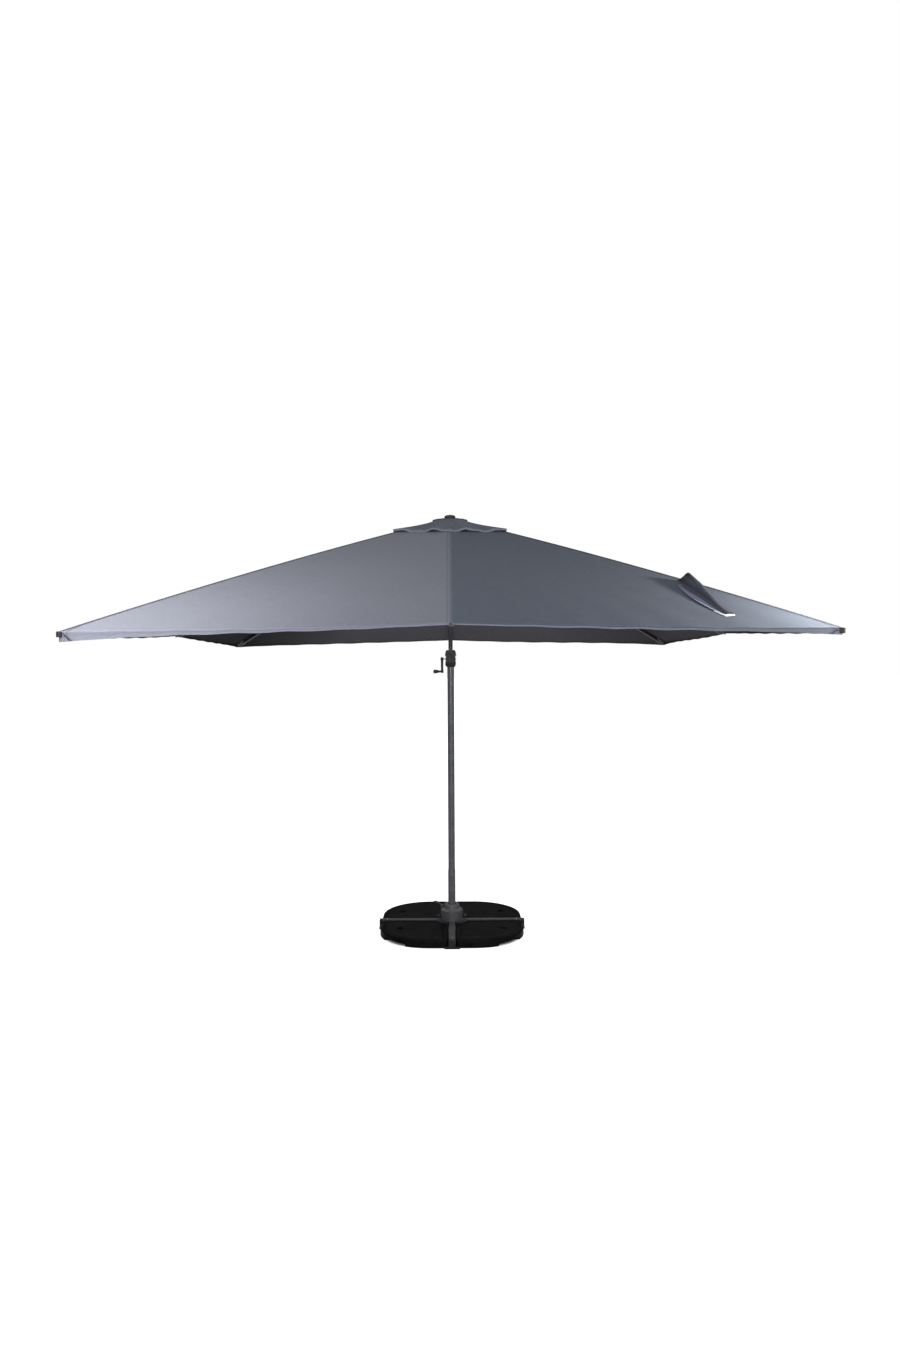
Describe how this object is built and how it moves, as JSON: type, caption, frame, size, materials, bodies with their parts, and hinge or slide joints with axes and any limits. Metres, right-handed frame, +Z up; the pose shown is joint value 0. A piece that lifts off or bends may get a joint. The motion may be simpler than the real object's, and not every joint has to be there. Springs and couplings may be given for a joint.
{
  "type": "cantilever parasol",
  "caption": "Square cantilever parasol with a side mast, curved overhead arm, cranked folding ribs, vented cloth canopy and a weighted cross base that swivels.",
  "frame": {"origin": "centre of the base on the floor, on the mast's axis", "axes": "+Z up along the mast, -Y from the mast towards the canopy's centre, +X to the right seen from in front"},
  "size_m": [3.0002, 3.7151, 2.745],
  "materials": {
    "bar_steel": "dark grey powder coat, satin",
    "foot_steel": "black powder coat, satin",
    "zinc_steel": "zinc plated steel",
    "weight_plastic": "glossy black blow moulded plastic",
    "black_plastic": "black moulded plastic",
    "mast_paint": "anthracite grey powder coat",
    "bearing_plastic": "pale acetal",
    "cover_plastic": "dark grey moulded plastic",
    "case_plastic": "dark grey moulded plastic",
    "frame_paint": "black powder coat",
    "canopy_cloth": "grey woven polyester",
    "strap_cloth": "dark grey woven polyester",
    "cord": "braided cord"
  },
  "bodies": {
    "base": {"bar_across": "bar_steel", "bars_lengthways": "bar_steel", "bar_feet": "foot_steel", "base_plate": "bar_steel", "base_bolts": "zinc_steel", "weight_rear_right": "weight_plastic", "weight_rear_left": "weight_plastic", "weight_front_left": "weight_plastic", "weight_front_right": "weight_plastic", "filler_caps": "black_plastic", "swivel_post": "mast_paint", "swivel_bearing": "bearing_plastic", "foot_cover": "cover_plastic", "cover_knobs": "black_plastic", "pedal_pin": "zinc_steel"},
    "pedal": {"foot_pedal": "foot_steel"},
    "mast": {"mast_sleeve": "mast_paint", "mast_tube": "mast_paint", "crank_case_left": "case_plastic", "crank_case_right": "case_plastic", "case_screws": "zinc_steel", "arm_pivot_pin": "zinc_steel"},
    "crank": {"crank_shaft": "zinc_steel", "crank_arm": "black_plastic"},
    "grip": {"crank_grip": "black_plastic"},
    "arm": {"arm_foot": "frame_paint", "arm_tube": "frame_paint", "arm_head": "frame_paint", "top_hub": "black_plastic", "hub_pins": "zinc_steel", "finial": "black_plastic", "vent_crown": "canopy_cloth"},
    "runner": {"runner_hub": "black_plastic", "runner_pins": "zinc_steel", "lift_cord": "cord"},
    "rib_right": {"rib_right": "frame_paint", "canopy_right": "canopy_cloth"},
    "stretcher_right": {"stretcher_right": "frame_paint"},
    "rib_rear_right": {"rib_rear_right": "frame_paint", "canopy_rear_right": "canopy_cloth"},
    "stretcher_rear_right": {"stretcher_rear_right": "frame_paint"},
    "rib_rear": {"rib_rear": "frame_paint", "canopy_rear": "canopy_cloth"},
    "stretcher_rear": {"stretcher_rear": "frame_paint"},
    "rib_rear_left": {"rib_rear_left": "frame_paint", "canopy_rear_left": "canopy_cloth"},
    "stretcher_rear_left": {"stretcher_rear_left": "frame_paint"},
    "rib_left": {"rib_left": "frame_paint", "canopy_left": "canopy_cloth"},
    "stretcher_left": {"stretcher_left": "frame_paint"},
    "rib_front_left": {"rib_front_left": "frame_paint", "canopy_front_left": "canopy_cloth"},
    "stretcher_front_left": {"stretcher_front_left": "frame_paint"},
    "rib_front": {"rib_front": "frame_paint", "canopy_front": "canopy_cloth"},
    "stretcher_front": {"stretcher_front": "frame_paint"},
    "rib_front_right": {"rib_front_right": "frame_paint", "canopy_front_right": "canopy_cloth", "tie_strap": "strap_cloth"},
    "stretcher_front_right": {"stretcher_front_right": "frame_paint"}
  },
  "joints": [
    {"name": "swivel", "type": "hinge", "parent": "base", "child": "mast", "pos_m": [0, 0, 0.1], "axis": [0, 0, 1], "continuous": true},
    {"name": "pedal_press", "type": "hinge", "parent": "base", "child": "pedal", "pos_m": [-0.06668, 0.0385, 0.146], "axis": [0.5, 0.866, 0], "range_deg": [-12, 0], "stiffness_Nm_per_rad": 2, "springref_deg": 8.59},
    {"name": "arm_tilt", "type": "hinge", "parent": "mast", "child": "arm", "pos_m": [0, -0.018, 1.975], "axis": [-1, 0, 0], "range_deg": [0, 20]},
    {"name": "canopy_fold", "type": "slide", "parent": "arm", "child": "runner", "axis": [0, 0, -1], "range_m": [0, 0.9414], "deforming": ["lift_cord"]},
    {"name": "crank_turn", "type": "hinge", "parent": "mast", "child": "crank", "pos_m": [0, 0.018, 1.948], "axis": [1, 0, 0], "range_deg": [0, 3610]},
    {"name": "grip_spin", "type": "hinge", "parent": "crank", "child": "grip", "pos_m": [-0.1, 0.018, 1.858], "axis": [1, 0, 0], "continuous": true},
    {"name": "rib_fold_right", "type": "hinge", "parent": "arm", "child": "rib_right", "pos_m": [0.07, -1.69, 2.67], "axis": [0, 1, 0], "range_deg": [0, 62.5], "deforming": ["canopy_right"]},
    {"name": "stretcher_fold_right", "type": "hinge", "parent": "runner", "child": "stretcher_right", "pos_m": [0.07, -1.69, 2.27], "axis": [0, -1, 0], "range_deg": [0, 71.68]},
    {"name": "rib_fold_rear_right", "type": "hinge", "parent": "arm", "child": "rib_rear_right", "pos_m": [0.0495, -1.6405, 2.67], "axis": [-0.7071, 0.7071, 0], "range_deg": [0, 62.5], "deforming": ["canopy_rear_right"]},
    {"name": "stretcher_fold_rear_right", "type": "hinge", "parent": "runner", "child": "stretcher_rear_right", "pos_m": [0.0495, -1.6405, 2.27], "axis": [0.7071, -0.7071, 0], "range_deg": [0, 59.89]},
    {"name": "rib_fold_rear", "type": "hinge", "parent": "arm", "child": "rib_rear", "pos_m": [0, -1.62, 2.67], "axis": [-1, 0, 0], "range_deg": [0, 62.5], "deforming": ["canopy_rear"]},
    {"name": "stretcher_fold_rear", "type": "hinge", "parent": "runner", "child": "stretcher_rear", "pos_m": [0, -1.62, 2.27], "axis": [1, 0, 0], "range_deg": [0, 71.68]},
    {"name": "rib_fold_rear_left", "type": "hinge", "parent": "arm", "child": "rib_rear_left", "pos_m": [-0.0495, -1.6405, 2.67], "axis": [-0.7071, -0.7071, 0], "range_deg": [0, 62.5], "deforming": ["canopy_rear_left"]},
    {"name": "stretcher_fold_rear_left", "type": "hinge", "parent": "runner", "child": "stretcher_rear_left", "pos_m": [-0.0495, -1.6405, 2.27], "axis": [0.7071, 0.7071, 0], "range_deg": [0, 59.89]},
    {"name": "rib_fold_left", "type": "hinge", "parent": "arm", "child": "rib_left", "pos_m": [-0.07, -1.69, 2.67], "axis": [0, -1, 0], "range_deg": [0, 62.5], "deforming": ["canopy_left"]},
    {"name": "stretcher_fold_left", "type": "hinge", "parent": "runner", "child": "stretcher_left", "pos_m": [-0.07, -1.69, 2.27], "axis": [0, 1, 0], "range_deg": [0, 71.68]},
    {"name": "rib_fold_front_left", "type": "hinge", "parent": "arm", "child": "rib_front_left", "pos_m": [-0.0495, -1.7395, 2.67], "axis": [0.7071, -0.7071, 0], "range_deg": [0, 62.5], "deforming": ["canopy_front_left"]},
    {"name": "stretcher_fold_front_left", "type": "hinge", "parent": "runner", "child": "stretcher_front_left", "pos_m": [-0.0495, -1.7395, 2.27], "axis": [-0.7071, 0.7071, 0], "range_deg": [0, 59.89]},
    {"name": "rib_fold_front", "type": "hinge", "parent": "arm", "child": "rib_front", "pos_m": [0, -1.76, 2.67], "axis": [1, 0, 0], "range_deg": [0, 62.5], "deforming": ["canopy_front"]},
    {"name": "stretcher_fold_front", "type": "hinge", "parent": "runner", "child": "stretcher_front", "pos_m": [0, -1.76, 2.27], "axis": [-1, 0, 0], "range_deg": [0, 71.68]},
    {"name": "rib_fold_front_right", "type": "hinge", "parent": "arm", "child": "rib_front_right", "pos_m": [0.0495, -1.7395, 2.67], "axis": [0.7071, 0.7071, 0], "range_deg": [0, 62.5], "deforming": ["canopy_front_right", "tie_strap"]},
    {"name": "stretcher_fold_front_right", "type": "hinge", "parent": "runner", "child": "stretcher_front_right", "pos_m": [0.0495, -1.7395, 2.27], "axis": [-0.7071, -0.7071, 0], "range_deg": [0, 59.89]}
  ],
  "couplings": [
    {"joint": "crank_turn", "follows": "canopy_fold", "rad_per_m": 66.743},
    {"joint": "rib_fold_right", "follows": "canopy_fold", "rad_per_m": 1.1495},
    {"joint": "stretcher_fold_right", "follows": "canopy_fold", "rad_per_m": 1.3196},
    {"joint": "rib_fold_rear_right", "follows": "canopy_fold", "rad_per_m": 1.1495},
    {"joint": "stretcher_fold_rear_right", "follows": "canopy_fold", "rad_per_m": 1.1011},
    {"joint": "rib_fold_rear", "follows": "canopy_fold", "rad_per_m": 1.1495},
    {"joint": "stretcher_fold_rear", "follows": "canopy_fold", "rad_per_m": 1.3196},
    {"joint": "rib_fold_rear_left", "follows": "canopy_fold", "rad_per_m": 1.1495},
    {"joint": "stretcher_fold_rear_left", "follows": "canopy_fold", "rad_per_m": 1.1011},
    {"joint": "rib_fold_left", "follows": "canopy_fold", "rad_per_m": 1.1495},
    {"joint": "stretcher_fold_left", "follows": "canopy_fold", "rad_per_m": 1.3196},
    {"joint": "rib_fold_front_left", "follows": "canopy_fold", "rad_per_m": 1.1495},
    {"joint": "stretcher_fold_front_left", "follows": "canopy_fold", "rad_per_m": 1.1011},
    {"joint": "rib_fold_front", "follows": "canopy_fold", "rad_per_m": 1.1495},
    {"joint": "stretcher_fold_front", "follows": "canopy_fold", "rad_per_m": 1.3196},
    {"joint": "rib_fold_front_right", "follows": "canopy_fold", "rad_per_m": 1.1495},
    {"joint": "stretcher_fold_front_right", "follows": "canopy_fold", "rad_per_m": 1.1011}
  ]
}
